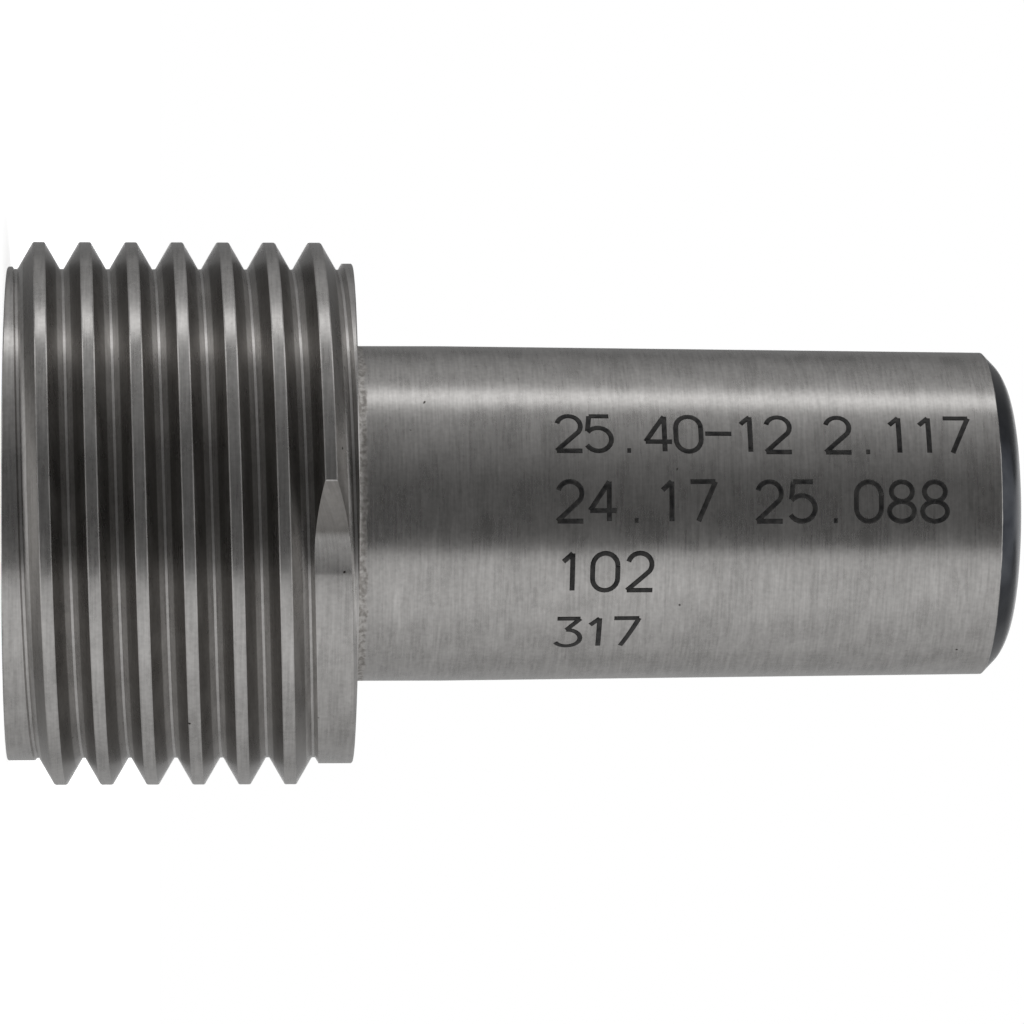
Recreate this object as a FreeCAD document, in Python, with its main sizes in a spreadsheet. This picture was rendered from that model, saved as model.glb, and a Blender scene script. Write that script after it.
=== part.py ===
"""A NOT-GO thread plug gauge: a threaded gauging head and its tapered shank, turned and ground from one bar.

The head stands on its front face at Z = 0 and the shank points up. Angles about Z start at -X and
grow counter-clockwise, so the right-hand thread climbs with them.
"""

import FreeCAD, Part
import math
import os

import Sketcher

NODE = "thread_plug"

SIZES = {  # millimetres, degrees and plain ratios
    # thread form: one inch, twelve to the inch, with the cut-down crests of a NOT-GO gauge
    "major_diameter": 25.088,
    "crest_height": 0.4585,
    "root_flat": 0.15132,
    "thread_pitch": 2.11667,
    "flank_angle": 60.0,
    "groove_offset": 0.349,
    # head, and the two collars where the partial turns are ground away
    "head_length": 15.875,
    "front_collar_rise": 0.11,
    "rear_collar_rise": 0.28,
    "front_setback": 0.83,
    "rear_setback": 1.17,
    "wheel_diameter": 48.0,
    "rim_break": 0.12,
    # shank: a short plain neck, then a self-holding taper of 1 in 48 on diameter
    "neck_diameter": 15.53,
    "neck_length": 4.1,
    "shank_length": 30.475,
    "taper_ratio": 48.0,
    "shoulder_fillet": 0.35,
    "end_chamfer": 1.15,
    "end_radius": 1.1,
    # centre holes that the gauge is ground on
    "centre_bore_diameter": 2.5,
    "centre_cone_diameter": 4.6,
    "centre_depth": 5.0,
    "centre_angle": 60.0,
    # how far a cutter reaches past the metal, stays off its own next turn and dips below a collar
    "overrun": 0.6,
    "track_clearance": 0.05,
    "wheel_dip": 0.01,
}

# lengths that several features share, as formulas on the sheet. The pitch line is where a ridge is
# as wide as a groove: the crest stands above it, and the flanks run down from it to the root's flat
FLANK_SLOPE = "tan(sizes.flank_angle / 2)"
MAJOR_RADIUS = "(sizes.major_diameter / 2)"
ROOT_DEPTH = f"(sizes.crest_height + (sizes.thread_pitch / 4 - sizes.root_flat / 2) / {FLANK_SLOPE})"
ROOT_RADIUS = f"({MAJOR_RADIUS} - {ROOT_DEPTH})"
CUTTER_RADIUS = "(sizes.major_diameter / 2 + sizes.overrun)"
NECK_RADIUS = "(sizes.neck_diameter / 2)"
TIP_RADIUS = "(sizes.neck_diameter / 2 - (sizes.shank_length - sizes.neck_length) / sizes.taper_ratio / 2)"
OVERALL = "(sizes.head_length + sizes.shank_length)"
RIDGE_OFFSET = "(sizes.groove_offset + sizes.thread_pitch / 2)"

HALF_TURN = 180.0
FULL_TURN = 360.0


def make_sheet(document):
    """The driving sizes, one row each: the name in column A and the aliased number in column B."""
    sheet = document.addObject("Spreadsheet::Sheet", "sizes")
    for row, (name, value) in enumerate(SIZES.items(), start=1):
        sheet.set(f"A{row}", name)
        sheet.set(f"B{row}", str(value))
        sheet.setAlias(f"B{row}", name)
    document.recompute()
    return sheet


def new_sketch(body, name, role, moved=None):
    """A sketch on the body's own origin plane with this role, moved on it by a formula where one is given."""
    plane = next(feature for feature in body.Origin.OriginFeatures if feature.Role == role)
    sketch = body.newObject("Sketcher::SketchObject", name)
    sketch.AttachmentSupport = [(plane, "")]
    sketch.MapMode = "FlatFace"
    if moved:
        sketch.setExpression("AttachmentOffset", moved)
    return sketch


def bind_corner(sketch, line, direction, name, formula):
    """Hold the start of a line at a formula's distance from the origin, along DistanceX or DistanceY."""
    if formula == "0":
        axis = -2 if direction == "DistanceX" else -1
        sketch.addConstraint(Sketcher.Constraint("PointOnObject", line, 1, axis))
        return
    value = float(sketch.evalExpression(formula))
    index = sketch.addConstraint(Sketcher.Constraint(direction, -1, 1, line, 1, value))
    sketch.renameConstraint(index, name)
    sketch.setExpression(f"Constraints.{name}", formula)


def bind_radius(sketch, curve, name, formula):
    """Hold a circle or an arc at a formula's radius."""
    index = sketch.addConstraint(Sketcher.Constraint("Radius", curve, float(sketch.evalExpression(formula))))
    sketch.renameConstraint(index, name)
    sketch.setExpression(f"Constraints.{name}", formula)


def left_arc(start, end, radius):
    """The shorter arc of this radius from start to end that turns to the left."""
    chord = end - start
    across = FreeCAD.Vector(-chord.y, chord.x, 0).normalize()
    rise = radius - math.sqrt(radius**2 - chord.Length**2 / 4)
    return Part.Arc(start, (start + end) / 2 - across * rise, end)


def closed_outline(sketch, corners):
    """Lines through the corners, each a (name, x, y) whose x and y are formulas on the sheet.

    A corner with a fourth formula is left in an arc of that radius, which turns to the left.
    """
    places = [
        FreeCAD.Vector(float(sketch.evalExpression(x)), float(sketch.evalExpression(y)), 0)
        for _, x, y, *_ in corners
    ]
    count = len(corners)
    for i, (_, _, _, *radius) in enumerate(corners):
        start, end = places[i], places[(i + 1) % count]
        if radius:
            sketch.addGeometry(left_arc(start, end, float(sketch.evalExpression(radius[0]))), False)
        else:
            sketch.addGeometry(Part.LineSegment(start, end), False)
    for i in range(count):
        sketch.addConstraint(Sketcher.Constraint("Coincident", i, 2, (i + 1) % count, 1))
    for i, (name, x, y, *radius) in enumerate(corners):
        bind_corner(sketch, i, "DistanceX", f"{name}_x", x)
        bind_corner(sketch, i, "DistanceY", f"{name}_y", y)
        if radius:
            bind_radius(sketch, i, f"{name}_radius", radius[0])


def round_edge(feature, radius, height):
    """The name of the feature's circular edge of this radius at this height, both formulas on the sheet."""
    wanted_radius = float(feature.evalExpression(radius))
    wanted_height = float(feature.evalExpression(height))
    for number, edge in enumerate(feature.Shape.Edges, start=1):
        curve = edge.Curve
        if isinstance(curve, Part.Circle) and abs(curve.Radius - wanted_radius) < 1e-3:
            if abs(curve.Center.z - wanted_height) < 1e-3:
                return f"Edge{number}"
    raise ValueError(f"{feature.Name} has no round edge of radius {wanted_radius} at {wanted_height}")


def dress_edge(body, kind, name, size_property, size, radius, height):
    """A Fillet or Chamfer of one round edge of the body as it stands."""
    body.Document.recompute()
    base = body.Tip
    feature = body.newObject(f"PartDesign::{kind}", name)
    feature.Base = (base, [round_edge(base, radius, height)])
    feature.setExpression(size_property, size)
    return feature


def turn_blank(body):
    """Head and shank as they leave the lathe: one outline turned about Z."""
    outline = new_sketch(body, "blank_outline", "XZ_Plane")
    fillet = "sizes.shoulder_fillet"
    halfway = f"{fillet} * (1 - sqrt(0.5))"
    closed_outline(
        outline,
        [
            ("front_centre", "0", "0"),
            ("tip_centre", "0", OVERALL),
            ("tip_rim", TIP_RADIUS, OVERALL),
            ("neck_end", NECK_RADIUS, "sizes.head_length + sizes.neck_length"),
            ("neck_foot", NECK_RADIUS, f"sizes.head_length + {fillet}", fillet),
            ("fillet_middle", f"{NECK_RADIUS} + {halfway}", f"sizes.head_length + {halfway}", fillet),
            ("shoulder_foot", f"{NECK_RADIUS} + {fillet}", "sizes.head_length"),
            ("shoulder_rim", MAJOR_RADIUS, "sizes.head_length"),
            ("front_rim", MAJOR_RADIUS, "0"),
        ],
    )
    blank = body.newObject("PartDesign::Revolution", "blank")
    blank.Profile = outline
    blank.ReferenceAxis = (outline, ["V_Axis"])
    blank.Angle = FULL_TURN

    dress_edge(body, "Chamfer", "end_chamfer", "Size", "sizes.end_chamfer", TIP_RADIUS, OVERALL)
    chamfer_rim = f"({TIP_RADIUS} - sizes.end_chamfer)"
    dress_edge(body, "Fillet", "end_radius", "Radius", "sizes.end_radius", chamfer_rim, OVERALL)


def helical_cut(body, name, profile, travel, downwards=False):
    """Sweep a profile along the thread's helix for this much travel, and take it out of the body."""
    cut = body.newObject("PartDesign::SubtractiveHelix", name)
    cut.Profile = profile
    cut.ReferenceAxis = (profile, ["V_Axis"])
    cut.Mode = "pitch-height-angle"
    cut.Reversed = downwards
    cut.Refine = False  # a refined crest is one face of many turns, which later cuts miss
    cut.setExpression("Pitch", "sizes.thread_pitch")
    cut.setExpression("Height", travel)
    return cut


def cut_thread(body):
    """The V groove between the ridges. It enters below the front face and leaves above the shoulder."""
    form = new_sketch(body, "thread_form", "XZ_Plane")
    half_root = "(sizes.root_flat / 2)"
    half_mouth = f"(sizes.thread_pitch / 4 + (sizes.crest_height + sizes.overrun) * {FLANK_SLOPE})"
    # +X is half a turn on from -X, and the cut starts two turns lower than the first groove there
    middle = "(sizes.groove_offset - 1.5 * sizes.thread_pitch)"
    closed_outline(
        form,
        [
            ("root_low", ROOT_RADIUS, f"{middle} - {half_root}"),
            ("mouth_low", CUTTER_RADIUS, f"{middle} - {half_mouth}"),
            ("mouth_high", CUTTER_RADIUS, f"{middle} + {half_mouth}"),
            ("root_high", ROOT_RADIUS, f"{middle} + {half_root}"),
        ],
    )
    helical_cut(body, "thread", form, "sizes.head_length + 3 * sizes.thread_pitch")


def grind_away_partial_turn(body, end, collar_radius, height, downwards):
    """Blunt start of the thread at one end of the head.

    A wheel comes in square to the axis at this height of the ridge, and follows the ridge from there
    until it has left the head, so that only a collar is left.
    """
    angle = f"({FULL_TURN} * ({height} - {RIDGE_OFFSET}) / sizes.thread_pitch)"
    wheel_radius = "sizes.wheel_diameter / 2"
    half_width = "(sizes.thread_pitch / 2 - sizes.track_clearance)"
    reach = f"({collar_radius} + {wheel_radius} - sizes.wheel_dip)"

    beside = f"placement(vector(-{reach} * cos({angle}); -{reach} * sin({angle}); {height});"
    wheel_face = new_sketch(body, f"{end}_wheel_face", "XY_Plane", beside + " rotation(vector(0; 0; 1); 0))")
    rim = Part.Circle(FreeCAD.Vector(), FreeCAD.Vector(0, 0, 1), SIZES["wheel_diameter"] / 2)
    wheel_face.addGeometry(rim, False)
    wheel_face.addConstraint(Sketcher.Constraint("Coincident", 0, 3, -1, 1))
    bind_radius(wheel_face, 0, "rim", wheel_radius)
    wheel = body.newObject("PartDesign::Pocket", f"{end}_wheel")
    wheel.Profile = wheel_face
    wheel.SideType = "Symmetric"
    wheel.Refine = False
    wheel.setExpression("Length", f"2 * {half_width}")

    turned = f"placement(vector(0; 0; 0); rotation(vector(0; 1; 0); {angle} + {HALF_TURN}))"
    track = new_sketch(body, f"{end}_track", "XZ_Plane", turned)
    closed_outline(
        track,
        [
            ("inner_low", collar_radius, f"{height} - {half_width}"),
            ("outer_low", CUTTER_RADIUS, f"{height} - {half_width}"),
            ("outer_high", CUTTER_RADIUS, f"{height} + {half_width}"),
            ("inner_high", collar_radius, f"{height} + {half_width}"),
        ],
    )
    helical_cut(body, f"{end}_relief", track, "1.5 * sizes.thread_pitch", downwards)


def turn_away(body, name, corners):
    """A small cut turned about Z, with a closed outline in the XZ plane."""
    outline = new_sketch(body, f"{name}_outline", "XZ_Plane")
    closed_outline(outline, corners)
    cut = body.newObject("PartDesign::Groove", name)
    cut.Profile = outline
    cut.ReferenceAxis = (outline, ["V_Axis"])
    cut.Angle = FULL_TURN
    cut.Refine = False
    return cut


def break_rim(body, end, collar_radius, face, inwards):
    """Take the sharp edge off a collar where it meets its face."""
    inner = f"{collar_radius} - sizes.rim_break"
    outer = f"{collar_radius} + sizes.rim_break"
    depth = f"{face} {inwards} 2 * sizes.rim_break"
    turn_away(
        body,
        f"{end}_rim_break",
        [("inner", inner, face), ("outer", outer, face), ("deep", outer, depth)],
    )


def drill_centre(body, end, face, inwards):
    """A centre hole: a cone that the grinding centre bears on, and a clearance bore with a drill point."""
    cone_radius = "sizes.centre_cone_diameter / 2"
    bore_radius = "sizes.centre_bore_diameter / 2"
    cone_depth = f"({cone_radius} - {bore_radius}) / tan(sizes.centre_angle / 2)"
    bore_depth = f"sizes.centre_depth - {bore_radius} / tan(sizes.centre_angle)"
    turn_away(
        body,
        f"{end}_centre",
        [
            ("mouth_middle", "0", face),
            ("mouth_rim", cone_radius, face),
            ("cone_end", bore_radius, f"{face} {inwards} {cone_depth}"),
            ("bore_end", bore_radius, f"{face} {inwards} ({bore_depth})"),
            ("drill_point", "0", f"{face} {inwards} sizes.centre_depth"),
        ],
    )


def make_thread_plug(document):
    """The whole gauge as one body, in the order it is made: turned, threaded, relieved, centred."""
    body = document.addObject("PartDesign::Body", NODE)
    body.Label = NODE
    body.Placement = FreeCAD.Placement()
    turn_blank(body)
    cut_thread(body)
    front_collar = f"({ROOT_RADIUS} + sizes.front_collar_rise)"
    rear_collar = f"({ROOT_RADIUS} + sizes.rear_collar_rise)"
    rear_height = "(sizes.head_length - sizes.rear_setback)"
    grind_away_partial_turn(body, "front", front_collar, "sizes.front_setback", True)
    grind_away_partial_turn(body, "rear", rear_collar, rear_height, False)
    break_rim(body, "front", front_collar, "0", "+")
    break_rim(body, "rear", rear_collar, "sizes.head_length", "-")
    drill_centre(body, "front", "0", "+")
    drill_centre(body, "rear", OVERALL, "-")
    return body


def check(document, body):
    """Stop if a feature failed, a cut took nothing away or the solid is not a single sound one."""
    document.recompute()
    for thing in document.Objects:
        if "Invalid" in thing.State or "Error" in thing.State:
            raise RuntimeError(f"{thing.Name} did not compute: {thing.State}")
    for feature in body.Group:
        base = getattr(feature, "BaseFeature", None)
        if base is None:
            continue
        removed = base.Shape.Volume - feature.Shape.Volume
        print(f"{feature.Name}: takes away {removed:.3f} mm3")
        if abs(removed) < 1e-4:
            raise RuntimeError(f"{feature.Name} changed nothing")
    shape = body.Shape
    if shape.isNull() or not shape.isValid() or len(shape.Solids) != 1:
        raise RuntimeError(f"{body.Label} is not one sound solid")


def main():
    document = FreeCAD.newDocument("thread_plug_gauge")
    make_sheet(document)
    body = make_thread_plug(document)
    check(document, body)
    os.makedirs("parts", exist_ok=True)
    body.Shape.exportStep(f"parts/{body.Label}.step")
    box = body.Shape.optimalBoundingBox()
    sides = " x ".join(f"{side:.2f}" for side in (box.XLength, box.YLength, box.ZLength))
    print(f"{body.Label}: {body.Shape.Volume:.1f} mm3, {sides} mm")


main()
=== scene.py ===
# %% [markdown]
# # A thread plug gauge
# The gauge is one turned piece of hardened steel: a threaded head that is screwed into a tapped
# hole, and a tapered shank that wedges into a handle. The CAD model gives every size. Here the same
# piece is turned again with fine facets, so that a polished finish can mirror a studio smoothly.

# %% Load the frame
import math

import bmesh
import bpy
from mathutils import Matrix, Vector


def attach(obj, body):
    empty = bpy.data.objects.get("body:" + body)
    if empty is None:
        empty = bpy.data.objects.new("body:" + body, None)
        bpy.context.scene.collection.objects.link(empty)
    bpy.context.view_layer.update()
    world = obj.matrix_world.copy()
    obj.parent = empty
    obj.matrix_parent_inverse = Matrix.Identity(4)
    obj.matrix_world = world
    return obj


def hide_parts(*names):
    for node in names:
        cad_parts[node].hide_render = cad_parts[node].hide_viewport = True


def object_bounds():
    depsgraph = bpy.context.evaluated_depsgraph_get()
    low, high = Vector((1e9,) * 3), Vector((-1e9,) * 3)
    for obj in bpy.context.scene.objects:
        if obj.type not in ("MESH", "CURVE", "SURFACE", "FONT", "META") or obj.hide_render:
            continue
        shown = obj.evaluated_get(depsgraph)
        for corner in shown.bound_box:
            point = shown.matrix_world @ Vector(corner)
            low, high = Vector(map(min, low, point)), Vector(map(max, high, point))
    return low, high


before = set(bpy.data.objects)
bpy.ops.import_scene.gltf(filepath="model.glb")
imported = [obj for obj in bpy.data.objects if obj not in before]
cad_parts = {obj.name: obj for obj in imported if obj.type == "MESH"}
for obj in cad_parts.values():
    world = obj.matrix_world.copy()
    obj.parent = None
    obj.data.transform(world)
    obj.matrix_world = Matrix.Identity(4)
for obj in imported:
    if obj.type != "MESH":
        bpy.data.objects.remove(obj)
cad_low, cad_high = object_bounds()
NODE = "thread_plug"
MM = 0.001
cad_span = (cad_high - cad_low) / MM
print(f"the CAD gauge is {cad_span.x:.2f} mm across and {cad_span.z:.2f} mm tall")

# %% [markdown]
# ## Camera
# The gauge stands on its head, and the picture shows it lying with its front face to the left. So
# the camera looks at it from the side and is rolled a quarter turn: the shank, which points up,
# points to the right of the picture. A long lens close by gives the mild perspective of a macro shot.

# %% Camera
CAMERA_DISTANCE = 260.0
CAMERA_HEIGHT = 7.536
CAMERA_ASIDE = 0.2294
YAW, PITCH, ROLL = 0.0607, 0.00113, 0.0002
LENS = 197.0

right = Vector((0, -math.sin(YAW), math.cos(YAW)))
back = Vector((0, -math.cos(YAW), -math.sin(YAW)))
up = Vector((-1, 0, 0))
up, back = math.cos(PITCH) * up + math.sin(PITCH) * back, math.cos(PITCH) * back - math.sin(PITCH) * up
right, up = math.cos(ROLL) * right - math.sin(ROLL) * up, math.sin(ROLL) * right + math.cos(ROLL) * up

camera_data = bpy.data.cameras.new("camera")
camera_data.lens = LENS
camera_data.sensor_width = 36.0
camera_data.clip_start = 0.01
camera_data.clip_end = 20.0
camera = bpy.data.objects.new("camera", camera_data)
turn = Matrix((right, up, back)).transposed().to_4x4()
camera.matrix_world = Matrix.Translation(Vector((CAMERA_ASIDE, -CAMERA_DISTANCE, CAMERA_HEIGHT)) * MM) @ turn
bpy.context.scene.collection.objects.link(camera)
bpy.context.scene.camera = camera
bpy.context.scene.view_settings.view_transform = "Standard"
print(f"camera {CAMERA_DISTANCE:.0f} mm away with a {LENS:.0f} mm lens")

# %% [markdown]
# ## Node helpers
# Materials and the world are both node trees. These two helpers add a node with its settings and
# join two sockets, which keeps each finish to a few readable lines.


# %% Node helpers
def add(tree, kind, inputs=None, **settings):
    """A node of this kind, with its settings and the plain values of its inputs."""
    node = tree.nodes.new(f"ShaderNode{kind}")
    for name, value in settings.items():
        setattr(node, name, value)
    for key, value in (inputs or {}).items():
        if isinstance(value, bpy.types.NodeSocket):
            tree.links.new(value, node.inputs[key])
        else:
            node.inputs[key].default_value = value
    return node


def maths(tree, operation, *values):
    """The result of one Math node on numbers or sockets."""
    return add(tree, "Math", dict(enumerate(values)), operation=operation).outputs[0]


def blend(tree, factor, first, second):
    """A colour between two, by a factor from 0 to 1."""
    node = add(tree, "Mix", data_type="RGBA")
    for socket, value in zip((node.inputs[0], node.inputs[6], node.inputs[7]), (factor, first, second)):
        if isinstance(value, bpy.types.NodeSocket):
            tree.links.new(value, socket)
        else:
            socket.default_value = value
    return node.outputs[2]


def ramp(tree, factor, stops, interpolation="LINEAR"):
    """A Color Ramp through (place, colour) stops, where a colour may be one grey number."""
    node = add(tree, "ValToRGB", {"Fac": factor})
    node.color_ramp.interpolation = interpolation
    elements = node.color_ramp.elements
    while len(elements) < len(stops):
        elements.new(0.5)
    for element, (place, colour) in zip(elements, stops):
        element.position = place
        element.color = (*colour, 1) if isinstance(colour, tuple) else (colour, colour, colour, 1)
    return node.outputs["Color"]


# %% [markdown]
# ## Studio
# A polished cylinder shows its surroundings as stripes along its length, so for its portrait it
# stands in a tent of cloth and cards. This tent is a wide open tube that glows by the angle about
# the gauge's axis, measured from the camera's side: a dark side where the camera stands, a narrow
# lamp on one side, a wide soft box that starts with a hard edge on the other, and dim cloth behind.
# The tube is open at both ends and has a gap at the back, where the steel mirrors the white world
# beyond it. The camera looks through the tent and sees only that white.

# %% Studio
STUDIO = [  # (degrees about the axis, light)
    (-180, 0.38),
    (-118, 0.42),
    (-112, 0.50),
    (-88, 0.54),
    (-60, 0.69),
    (-28, 0.62),
    (-24.5, 0.15),
    (0, 0.12),
    (22, 0.13),
    (50, 0.26),
    (78, 0.42),
    (84, 1.45),
    (90, 1.45),
    (96, 0.48),
    (128, 0.32),
    (142, 0.20),
    (180, 0.24),
]

TENT_RADIUS = 0.9
TENT_HEIGHT = 3.6
GAP = 8  # half the width, in degrees, of the opening through which the background is seen
ROOM_LIGHT = 0.45

shape = bmesh.new()
bmesh.ops.create_cone(
    shape, cap_ends=False, segments=180, radius1=TENT_RADIUS, radius2=TENT_RADIUS, depth=TENT_HEIGHT,
)
gap = []
for face in shape.faces:
    centre = face.calc_center_median()
    if abs(math.atan2(centre.x, centre.y)) < math.radians(GAP):
        gap.append(face)
bmesh.ops.delete(shape, geom=gap, context="FACES")
mesh = bpy.data.meshes.new("tent")
shape.to_mesh(mesh)
shape.free()
tent = bpy.data.objects.new("tent", mesh)
bpy.context.scene.collection.objects.link(tent)
tent.visible_camera = False

cloth = bpy.data.materials.new("tent_cloth")
cloth.use_nodes = True
tree = cloth.node_tree
tree.nodes.clear()
place = add(tree, "SeparateXYZ", {"Vector": add(tree, "TexCoord").outputs["Object"]})
away_x = maths(tree, "MULTIPLY", place.outputs["X"], -1.0)
away_y = maths(tree, "MULTIPLY", place.outputs["Y"], -1.0)
turn_share = maths(tree, "MULTIPLY_ADD", maths(tree, "ARCTAN2", away_x, away_y), 0.5 / math.pi, 0.5)
around = ramp(tree, turn_share, [((degrees + 180) / 360, light) for degrees, light in STUDIO])
stripes = add(tree, "Emission", {"Color": around, "Strength": 1.0})
tree.links.new(stripes.outputs[0], add(tree, "OutputMaterial").inputs["Surface"])
mesh.materials.append(cloth)

world = bpy.data.worlds.new("studio")
bpy.context.scene.world = world
world.use_nodes = True
tree = world.node_tree
tree.nodes.clear()


def seen_rays(tree):
    """1 for what the camera sees directly, in a mirror or through glass, and 0 for plain light."""
    path = add(tree, "LightPath")
    mirrored = maths(tree, "MAXIMUM", path.outputs["Is Glossy Ray"], path.outputs["Is Transmission Ray"])
    return maths(tree, "MAXIMUM", path.outputs["Is Camera Ray"], mirrored)


room = (ROOM_LIGHT, ROOM_LIGHT, ROOM_LIGHT, 1)
light = blend(tree, seen_rays(tree), room, (1, 1, 1, 1))
background = add(tree, "Background", {"Color": light, "Strength": 1.0})
tree.links.new(background.outputs[0], add(tree, "OutputWorld").inputs["Surface"])
print(f"studio of {len(STUDIO)} stripes in a white world")

# %% [markdown]
# The floor is plain and pale. Where it is seen it glows a little, so that it reads as white paper and
# still takes a soft shadow. The steel doesn't mirror it, because a wide white sheet so close would
# wash out the tent's stripes. One soft lamp above gives the shadow its direction, and is kept out of
# the reflections too.

# %% Floor and lamp
FLOOR_RADIUS = 3.0
FLOOR_GLOW = 0.75
LAMP_PLACE = Vector((0.25, 0.35, 0.9))

mesh = bpy.data.meshes.new("floor")
shape = bmesh.new()
bmesh.ops.create_circle(shape, cap_ends=True, segments=96, radius=FLOOR_RADIUS)
shape.to_mesh(mesh)
shape.free()
floor = bpy.data.objects.new("floor", mesh)
bpy.context.scene.collection.objects.link(floor)

paper = bpy.data.materials.new("paper")
paper.use_nodes = True
tree = paper.node_tree
tree.nodes.clear()
plain = add(tree, "BsdfDiffuse", {"Color": (0.8, 0.8, 0.8, 1)})
strength = maths(tree, "MULTIPLY", seen_rays(tree), FLOOR_GLOW)
glow = add(tree, "Emission", {"Color": (1, 1, 1, 1), "Strength": strength})
lit = add(tree, "AddShader", {0: plain.outputs[0], 1: glow.outputs[0]})
tree.links.new(lit.outputs[0], add(tree, "OutputMaterial").inputs["Surface"])
floor.visible_glossy = False
mesh.materials.append(paper)

lamp_data = bpy.data.lights.new("overhead", "AREA")
lamp_data.shape = "DISK"
lamp_data.size = 0.5
lamp_data.energy = 4.0
lamp = bpy.data.objects.new("overhead", lamp_data)
aim = LAMP_PLACE.to_track_quat("Z", "Y").to_matrix().to_4x4()
lamp.matrix_world = Matrix.Translation(LAMP_PLACE) @ aim
lamp.visible_glossy = False
bpy.context.scene.collection.objects.link(lamp)
print("floor and lamp in place")

# %% [markdown]
# ## Turning the blank
# The real piece starts as a bar in a lathe, and so does this one. A half section is drawn as a chain
# of edges, its inside corner gets the tool's radius with a vertex bevel, and a full spin closes it.
# The finer the spin, the smoother the stripes of the studio run over the round faces.

# %% Sizes, from the CAD model
PITCH = 2.11667
MAJOR_RADIUS = 25.088 / 2
ROOT_RADIUS = 22.6 / 2
PITCH_RADIUS = 24.171 / 2
FLANK_SLOPE = math.tan(math.radians(30))
HEAD_LENGTH = 15.875
OVERALL = 46.35
GROOVE_OFFSET = 0.349
COLLAR_RADIUS = {"front": 22.82 / 2, "rear": 23.16 / 2}
RIDGE_END = {"front": 0.83, "rear": HEAD_LENGTH - 1.17}
WHEEL_RADIUS = 24.0
NECK_RADIUS = 15.53 / 2
NECK_END = HEAD_LENGTH + 4.1
TAPER = 1 / 96
TIP_RADIUS = NECK_RADIUS - (OVERALL - NECK_END) * TAPER
FACETS = 288


# %% Lathe helpers
def chain(shape, corners):
    """Vertices at (radius, height) corners in millimetres, joined one after the other by edges."""
    verts = [shape.verts.new(Vector((-radius, 0, height)) * MM) for radius, height in corners]
    for first, second in zip(verts, verts[1:]):
        shape.edges.new((first, second))
    return verts


def round_corner(shape, vert, reach, segments):
    """Round a corner of a chain with an arc that starts this far before it and ends as far after."""
    bmesh.ops.bevel(
        shape, geom=[vert], offset=reach * MM, offset_type="OFFSET", segments=segments,
        profile=0.5, affect="VERTICES", material=-1,
    )


def spun(shape, turns=1.0, climb=0.0):
    """Spin all that the shape holds about Z, climbing this many millimetres a turn."""
    rise = climb * MM / FACETS * (1 if turns > 0 else -1)
    bmesh.ops.spin(
        shape, geom=shape.verts[:] + shape.edges[:] + shape.faces[:], cent=(0, 0, 0), axis=(0, 0, 1),
        dvec=(0, 0, rise), angle=math.tau * turns, steps=round(FACETS * abs(turns)),
        use_merge=climb == 0, use_normal_flip=False, use_duplicate=False,
    )
    bmesh.ops.remove_doubles(shape, verts=shape.verts[:], dist=1e-6)
    return shape


def finish_mesh(shape, name):
    """Close what is open, turn the faces outwards and make an object of the shape."""
    open_edges = [edge for edge in shape.edges if edge.is_boundary]
    if open_edges:
        bmesh.ops.holes_fill(shape, edges=open_edges, sides=0)
    bmesh.ops.recalc_face_normals(shape, faces=shape.faces[:])
    loose = sum(not edge.is_manifold for edge in shape.edges)
    mesh = bpy.data.meshes.new(name)
    shape.to_mesh(mesh)
    shape.free()
    piece = bpy.data.objects.new(name, mesh)
    bpy.context.scene.collection.objects.link(piece)
    print(f"{name}: {len(mesh.polygons)} faces, {loose} open or doubled edges")
    return piece


# %% Blank with its centre holes
FILLET = 0.35
END_CHAMFER = 1.18
END_RADIUS = 2.3
MOUTH_RADIUS = 2.3
BORE_RADIUS = 1.25
BORE_DEPTH = 5.0
CENTRE = [  # radius and depth: drill point, bore, the end of the 60 degree cone, its mouth
    (0, BORE_DEPTH),
    (BORE_RADIUS, BORE_DEPTH - BORE_RADIUS / math.tan(math.radians(60))),
    (BORE_RADIUS, (MOUTH_RADIUS - BORE_RADIUS) / FLANK_SLOPE),
    (MOUTH_RADIUS, 0),
]

shape = bmesh.new()
corners = CENTRE + [
    (MAJOR_RADIUS, 0),
    (MAJOR_RADIUS, HEAD_LENGTH),
    (NECK_RADIUS, HEAD_LENGTH),
    (NECK_RADIUS, NECK_END),
    (TIP_RADIUS + END_CHAMFER * TAPER, OVERALL - END_CHAMFER),
    (TIP_RADIUS - END_CHAMFER, OVERALL),
] + [(radius, OVERALL - depth) for radius, depth in reversed(CENTRE)]
section = chain(shape, corners)
shoulder_foot = section[len(CENTRE) + 2]
chamfer_rim = section[len(CENTRE) + 5]
round_corner(shape, shoulder_foot, FILLET, 8)
round_corner(shape, chamfer_rim, END_RADIUS * math.tan(math.radians(22.5)), 12)
blank = finish_mesh(spun(shape), "gauge")

# %% [markdown]
# ## Cutting the thread
# A thread is a groove swept along a helix, and not rings, so the cutter is one flat section spun
# while it climbs one pitch a turn. The section is the groove itself: a narrow flat root, two flanks
# at sixty degrees, and a tiny flare at the crest that takes the sharp edge off. It starts below the
# head and runs out past the shoulder, and a Boolean takes it out of the blank.


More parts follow.
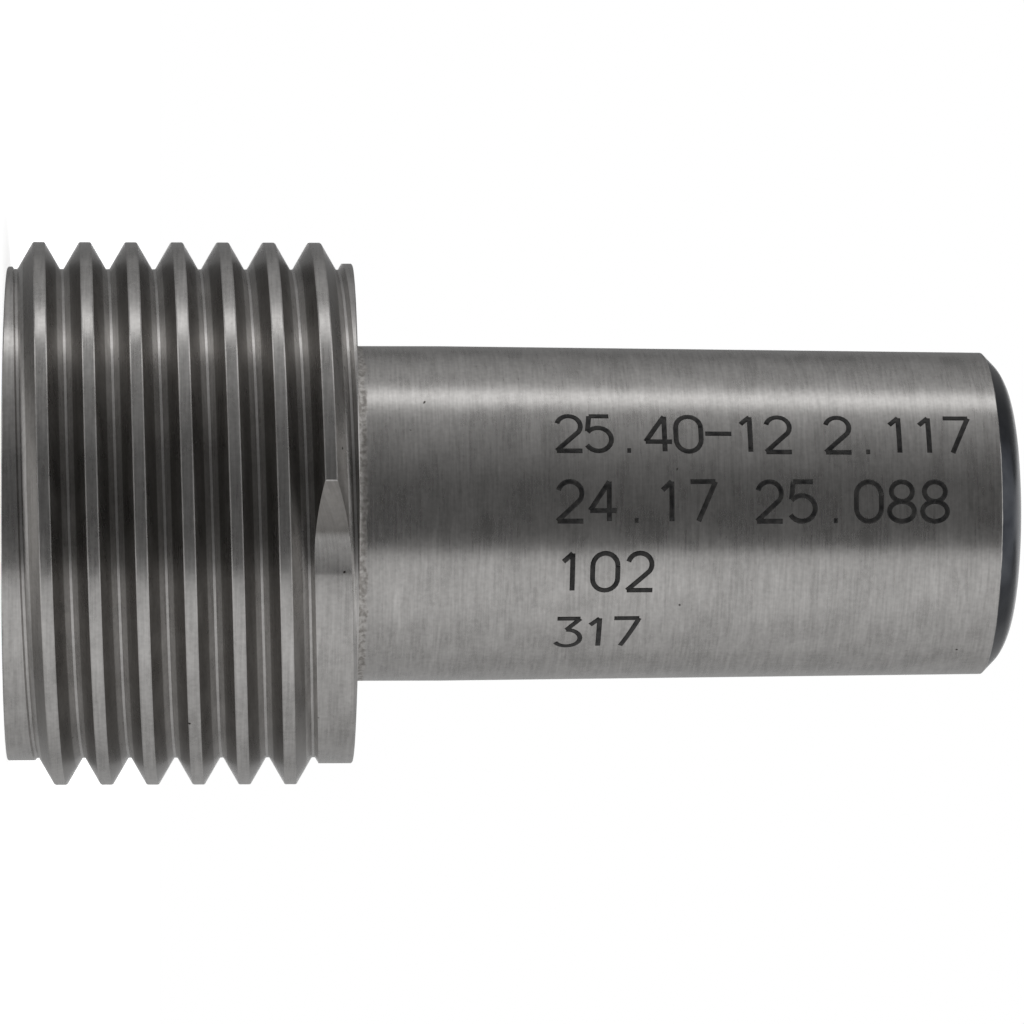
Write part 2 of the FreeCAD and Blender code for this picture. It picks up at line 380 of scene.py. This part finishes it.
# %% Cutter helpers
def swept_cutter(name, corners, start_angle, share, repeats=1):
    """A closed solid from a section of (radius, height) corners that climbs one pitch a turn about Z.

    The sweep starts at an angle in degrees, goes on for a share of a turn, downwards where the share
    is negative, and whole turns are repeated on top of each other.
    """
    shape = bmesh.new()
    verts = chain(shape, corners)
    shape.edges.new((verts[-1], verts[0]))
    bmesh.ops.rotate(
        shape, verts=shape.verts[:], cent=(0, 0, 0), matrix=Matrix.Rotation(math.radians(start_angle), 3, "Z")
    )
    spun(shape, turns=share, climb=PITCH)
    one_turn = shape.verts[:] + shape.edges[:] + shape.faces[:]
    for turn in range(1, repeats):
        copy = bmesh.ops.duplicate(shape, geom=one_turn)["geom"]
        moved = [part for part in copy if isinstance(part, bmesh.types.BMVert)]
        bmesh.ops.translate(shape, verts=moved, vec=(0, 0, turn * PITCH * MM))
    bmesh.ops.remove_doubles(shape, verts=shape.verts[:], dist=1e-6)
    return finish_mesh(shape, name)


def cut_from(piece, cutter):
    """Take the cutter out of the piece with a Boolean modifier, and keep only the result."""
    modifier = piece.modifiers.new("cut", "BOOLEAN")
    modifier.operation = "DIFFERENCE"
    modifier.solver = "MANIFOLD"
    modifier.object = cutter
    graph = bpy.context.evaluated_depsgraph_get()
    result = bpy.data.meshes.new_from_object(piece.evaluated_get(graph))
    before = len(piece.data.polygons)
    piece.modifiers.clear()
    piece.data = result
    bpy.data.objects.remove(cutter)
    print(f"cut: {before} faces became {len(result.polygons)}")


# %% Thread groove
EDGE_BREAK = 0.03
OUTSIDE = MAJOR_RADIUS + 0.35
break_radius = MAJOR_RADIUS - EDGE_BREAK


def half_groove(radius):
    """Half the width of the groove at this radius."""
    return PITCH / 4 + (radius - PITCH_RADIUS) * FLANK_SLOPE


middle = GROOVE_OFFSET - 2 * PITCH
mouth = half_groove(break_radius) + 2 * EDGE_BREAK
lower = [
    (ROOT_RADIUS + 0.03, half_groove(ROOT_RADIUS + 0.03)),
    (break_radius, half_groove(break_radius)),
    (MAJOR_RADIUS + 0.002, mouth),
    (OUTSIDE, mouth + 0.05),
]
root = [(ROOT_RADIUS, half_groove(ROOT_RADIUS) - 0.02)]
section = root + lower
groove = [(radius, middle + half) for radius, half in section]
groove += [(radius, middle - half) for radius, half in reversed(section)]
cut_from(blank, swept_cutter("groove", groove, 0, 1.0, repeats=10))

# %% [markdown]
# ## Blunt ends of the thread
# A thread that simply runs out ends in a feather edge, which would cut fingers and bruise the work.
# On a gauge the partial turn is ground away: a wheel comes in square to the axis, lifts the ridge off
# in an arc, and follows the groove out until only a plain collar is left. A cylinder makes the arc
# and a swept block makes the collar.


# %% Grind the partial turns away
def grind_end(end, turns):
    """Blunt start of the thread at the front or the rear of the head."""
    height = RIDGE_END[end]
    collar = COLLAR_RADIUS[end]
    half = PITCH / 2 - 0.05
    angle = 360 * (height - GROOVE_OFFSET - PITCH / 2) / PITCH
    shape = bmesh.new()
    bmesh.ops.create_cone(
        shape, cap_ends=True, segments=720, radius1=WHEEL_RADIUS * MM, radius2=WHEEL_RADIUS * MM,
        depth=2 * half * MM,
    )
    reach = collar + WHEEL_RADIUS - 0.01
    heading = math.radians(angle)
    hub = Vector((-reach * math.cos(heading), -reach * math.sin(heading), height)) * MM
    bmesh.ops.translate(shape, verts=shape.verts[:], vec=hub)
    cut_from(blank, finish_mesh(shape, f"{end}_wheel"))
    low, high = height - half, height + half
    block = [(collar, low), (OUTSIDE, low), (OUTSIDE, high), (collar, high)]
    cut_from(blank, swept_cutter(f"{end}_block", block, angle, turns))


grind_end("front", -1.5)
grind_end("rear", 1.5)


# %% Break the rims of the collars
RIM_BREAK = 0.05
for radius, face, inwards in ((COLLAR_RADIUS["front"], 0, 1), (COLLAR_RADIUS["rear"], HEAD_LENGTH, -1)):
    shape = bmesh.new()
    ring = chain(shape, [
        (radius - RIM_BREAK, face - inwards * 0.001),
        (radius + RIM_BREAK, face - inwards * 0.001),
        (radius + RIM_BREAK, face + inwards * 2 * RIM_BREAK),
    ])
    shape.edges.new((ring[-1], ring[0]))
    cut_from(blank, finish_mesh(spun(shape), "rim_cutter"))

# %% Clean the result and shade it
shape = bmesh.new()
shape.from_mesh(blank.data)
bmesh.ops.remove_doubles(shape, verts=shape.verts[:], dist=2e-7)
bmesh.ops.dissolve_degenerate(shape, edges=shape.edges[:], dist=1e-7)
bmesh.ops.recalc_face_normals(shape, faces=shape.faces[:])
bad = sum(not edge.is_manifold for edge in shape.edges)
shape.to_mesh(blank.data)
shape.free()
blank.data.shade_smooth()
blank.data.set_sharp_from_angle(angle=math.radians(24))
triangles = sum(len(face.vertices) - 2 for face in blank.data.polygons)
print(f"gauge: {triangles} triangles, {bad} edges that are not closed")

# %% [markdown]
# ## Ground steel
# Grinding leaves fine lines around the axis, so one noise is stretched along the turn and packed
# tightly along the profile: it tints the steel and shapes its gloss and a faint bump. A softer noise
# mottles the surface where it has been handled, and a sparse one leaves specks. The lines also smear
# reflections along the axis, which the anisotropic setting does. The flanks of the thread get painted
# shade, a darker colour for the shade in the grooves, a strip beside the shoulder was never ground,
# and the rounded end keeps its dark skin from the hardening furnace.

# %% Steel finish
END_BAND = 45.2
STRIP_END = HEAD_LENGTH + 0.5
STEEL_DARK = (0.40, 0.39, 0.38)
STEEL_LIGHT = (0.66, 0.645, 0.63)
# painted shade: the colour that darkens the thread's flanks, standing in for shade in the grooves
FLANK_SHADE = (0.50, 0.49, 0.48, 1)
SKIN_DARK = (0.022, 0.025, 0.032)
SKIN_LIGHT = (0.075, 0.08, 0.09)


def ease(tree, value, low, high):
    """0 below the low value, 1 above the high one and smooth between."""
    node = add(tree, "MapRange", {0: value, 1: low, 2: high, 3: 0.0, 4: 1.0}, interpolation_type="SMOOTHSTEP")
    return node.outputs[0]


def noise(tree, vector, scale, detail=2.0):
    """A noise from 0 to 1 on this vector."""
    return add(tree, "TexNoise", {"Vector": vector, "Scale": scale, "Detail": detail}).outputs["Fac"]


steel = bpy.data.materials.new("ground_steel")
steel.use_nodes = True
tree = steel.node_tree
shader = tree.nodes["Principled BSDF"]
position = add(tree, "TexCoord").outputs["Object"]
millimetres = add(tree, "VectorMath", {0: position, 1: (1000, 1000, 1000)}, operation="MULTIPLY").outputs[0]
axes = add(tree, "SeparateXYZ", {"Vector": millimetres})
flat = add(tree, "CombineXYZ", {"X": axes.outputs["X"], "Y": axes.outputs["Y"]})
radius = add(tree, "VectorMath", {0: flat.outputs[0]}, operation="LENGTH").outputs["Value"]
height = axes.outputs["Z"]
profile = maths(tree, "ADD", height, radius)
around_x = maths(tree, "DIVIDE", axes.outputs["X"], radius)
around_y = maths(tree, "DIVIDE", axes.outputs["Y"], radius)


def turned_noise(lines, length):
    """Noise with this many lines a millimetre, each running on for about a radian over length."""
    vector = add(tree, "CombineXYZ", {
        "X": maths(tree, "MULTIPLY", around_x, length),
        "Y": maths(tree, "MULTIPLY", around_y, length),
        "Z": maths(tree, "MULTIPLY", profile, lines),
    })
    return noise(tree, vector.outputs[0], 1.0, 2.0)


fine_lines = turned_noise(9.0, 5.0)
broad_lines = turned_noise(2.2, 1.6)
mottle = noise(tree, millimetres, 0.55, 5.0)
grain = noise(tree, millimetres, 5.0, 2.0)
speck = noise(tree, millimetres, 2.1, 1.0)

tone = maths(tree, "MULTIPLY_ADD", fine_lines, 0.30, maths(tree, "MULTIPLY", broad_lines, 0.17))
tone = maths(tree, "MULTIPLY_ADD", mottle, 0.30, maths(tree, "MULTIPLY_ADD", grain, 0.20, tone))
ground = ramp(tree, tone, [(0.38, STEEL_DARK), (0.66, STEEL_LIGHT)])
ground = blend(tree, ease(tree, speck, 0.80, 0.84), ground, (0.05, 0.045, 0.04, 1))

# Painted shade: inside the head, the flanks of the thread are multiplied down to a darker colour, as the
# shade of the grooves
shaded_flank = maths(tree, "MULTIPLY", ease(tree, radius, 11.66, 11.74), ease(tree, radius, 12.53, 12.50))
in_head = maths(tree, "LESS_THAN", height, HEAD_LENGTH - 0.3)
shade = blend(tree, maths(tree, "MULTIPLY", shaded_flank, in_head), (1, 1, 1, 1), FLANK_SHADE)
ground_node = add(tree, "Mix", data_type="RGBA", blend_type="MULTIPLY")
ground_node.inputs[0].default_value = 1.0
tree.links.new(ground, ground_node.inputs[6])
tree.links.new(shade, ground_node.inputs[7])
ground = ground_node.outputs[2]

wobble = maths(tree, "MULTIPLY_ADD", noise(tree, millimetres, 1.3, 4.0), 0.5, -0.25)
on_shank = maths(tree, "LESS_THAN", radius, NECK_RADIUS + FILLET + 0.1)
below = ease(tree, maths(tree, "ADD", height, wobble), STRIP_END + 0.06, STRIP_END - 0.06)
beyond_head = maths(tree, "GREATER_THAN", height, HEAD_LENGTH - 0.05)
strip = maths(tree, "MULTIPLY", maths(tree, "MULTIPLY", on_shank, below), beyond_head)
rough_strip = ramp(tree, grain, [(0.35, (0.40, 0.38, 0.36)), (0.65, (0.72, 0.70, 0.68))])
ground = blend(tree, strip, ground, rough_strip)

edge = maths(tree, "MULTIPLY_ADD", wobble, 0.16, height)
band = ease(tree, edge, END_BAND - 0.03, END_BAND + 0.03)
skin = ramp(tree, mottle, [(0.35, SKIN_DARK), (0.72, SKIN_LIGHT)])
tree.links.new(blend(tree, band, ground, skin), shader.inputs["Base Color"])

dull = maths(tree, "MULTIPLY_ADD", mottle, 0.16, maths(tree, "MULTIPLY_ADD", fine_lines, 0.10, 0.16))
dull = maths(tree, "MULTIPLY_ADD", strip, 0.25, dull)
tree.links.new(maths(tree, "MULTIPLY_ADD", band, -0.06, dull), shader.inputs["Roughness"])
relief = maths(tree, "MULTIPLY_ADD", strip, maths(tree, "MULTIPLY", grain, 3.0), fine_lines)
bump = add(tree, "Bump", {"Height": relief, "Strength": 0.25, "Distance": 0.00001})
tree.links.new(bump.outputs[0], shader.inputs["Normal"])
shader.inputs["Metallic"].default_value = 1.0
shader.inputs["Anisotropic"].default_value = 0.6
shader.inputs["Anisotropic Rotation"].default_value = 0.25
tangent = add(tree, "Tangent", direction_type="RADIAL", axis="Z")
tree.links.new(tangent.outputs[0], shader.inputs["Tangent"])
blank.data.materials.clear()
blank.data.materials.append(steel)
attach(blank, "root")
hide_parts(NODE)
print(f"steel finish of {len(tree.nodes)} nodes")

# %% [markdown]
# ## Marking
# A gauge carries its figures on the shank, drawn by a laser that oxidises the steel and leaves no
# real depth. The figures here are plain numbers. Each is drawn as the laser draws it, in single
# strokes of one width: a curve with a round bevel gives the stroke and its round ends. The rows are
# cut into narrow bands so that they can bend, and wrapped on the taper, pressed almost flat.

# %% Marking
FIGURE_HEIGHT = 1.8
STROKE = 0.23
SKIN = 0.004
ROWS = [  # (figures, degrees from the middle of the front, where the row starts and ends)
    ("25.40-12 2.117", 28.2, 24.9, 43.8),
    ("24.17 25.088", 4.05, 24.9, 42.7),
    ("102", -20.3, 24.95, 29.3),
    ("317", -45.1, 24.95, 28.8),
]


def bow(across, up, wide, tall, first, last):
    """Points of an elliptic arc between two angles in degrees, about a place in a 4 by 6 cell."""
    steps = max(2, round(abs(last - first) / 15))
    angles = [math.radians(first + (last - first) * step / steps) for step in range(steps + 1)]
    return [(across + wide * math.cos(angle), up + tall * math.sin(angle)) for angle in angles]


FIGURES = {  # strokes of each figure in a cell 4 wide and 6 tall
    "0": [bow(2, 4, 1.9, 2, 0, 180) + bow(2, 2, 1.9, 2, 180, 360) + [(3.9, 4)]],
    "1": [[(0.9, 4.7), (2.3, 6)], [(2.3, 6), (2.3, 0)]],
    "2": [bow(2, 4.2, 1.8, 1.8, 165, -35) + [(0.1, 0)], [(0.1, 0), (4, 0)]],
    "3": [[(0.3, 6), (3.8, 6)], [(3.8, 6), (1.7, 3.7)], bow(1.9, 1.85, 2.0, 1.85, 95, -150)],
    "4": [[(2.9, 0), (2.9, 6)], [(2.9, 6), (0, 1.6)], [(0, 1.6), (4, 1.6)]],
    "5": [[(3.6, 6), (0.6, 6)], [(0.6, 6), (0.3, 3.3)], bow(1.9, 1.95, 2.0, 1.95, 142, -150)],
    "7": [[(0.1, 6), (3.9, 6)], [(3.9, 6), (1.3, 0)]],
    "8": [bow(2, 4.5, 1.6, 1.5, -90, 270), bow(2, 1.5, 1.9, 1.5, 90, 450)],
    "-": [[(0, 3), (4, 3)]],
    ".": [[(1.7, 0.1), (2.3, 0.1)]],
    " ": [],
}


def shank_radius(height):
    """Radius of the tapered shank at this height, in millimetres."""
    return NECK_RADIUS - max(0.0, height - NECK_END) * TAPER


def marked_row(index, figures, degrees, start, end):
    """One row of single-stroke figures wrapped on the shank."""
    unit = FIGURE_HEIGHT / 6
    advance = (end - start - 4 * unit) / (len(figures) - 1)
    line = bpy.data.curves.new("figures", "CURVE")
    line.dimensions = "3D"
    line.bevel_depth = STROKE / 2
    line.bevel_resolution = 1
    line.use_fill_caps = True
    for place, figure in enumerate(figures):
        for stroke in FIGURES[figure]:
            spline = line.splines.new("POLY")
            spline.points.add(len(stroke) - 1)
            for point, (across, up) in zip(spline.points, stroke):
                point.co = (place * advance + across * unit, (up - 3) * unit, 0, 1)
    holder = bpy.data.objects.new("figures", line)
    bpy.context.scene.collection.objects.link(holder)
    graph = bpy.context.evaluated_depsgraph_get()
    mesh = bpy.data.meshes.new_from_object(holder.evaluated_get(graph))
    bpy.data.objects.remove(holder)
    shape = bmesh.new()
    shape.from_mesh(mesh)
    half = FIGURE_HEIGHT / 2
    for level in (-0.75, -0.5, -0.25, 0.0, 0.25, 0.5, 0.75):
        bmesh.ops.bisect_plane(
            shape, geom=shape.verts[:] + shape.edges[:] + shape.faces[:], dist=1e-5,
            plane_co=(0, level * half, 0), plane_no=(0, 1, 0),
        )
    for vert in shape.verts:
        height = start + vert.co.x
        out = shank_radius(height) + SKIN * (0.3 + vert.co.z / (STROKE / 2))
        angle = math.radians(degrees) + vert.co.y / shank_radius(height)
        vert.co = Vector((-out * math.sin(angle), -out * math.cos(angle), height)) * MM
    return finish_mesh(shape, f"marking_row_{index}")


ink = bpy.data.materials.new("laser_mark")
ink.use_nodes = True
tree = ink.node_tree
shader = tree.nodes["Principled BSDF"]
position = add(tree, "TexCoord").outputs["Object"]
burn = noise(tree, position, 3500.0, 3.0)
black = ramp(tree, burn, [(0.3, (0.012, 0.012, 0.013)), (0.7, (0.06, 0.058, 0.056))])
tree.links.new(black, shader.inputs["Base Color"])
tree.links.new(maths(tree, "MULTIPLY_ADD", burn, 0.3, 0.35), shader.inputs["Roughness"])
shader.inputs["Metallic"].default_value = 0.3
for index, row in enumerate(ROWS, 1):
    piece = marked_row(index, *row)
    piece.data.materials.clear()
    piece.data.materials.append(ink)
    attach(piece, "root")
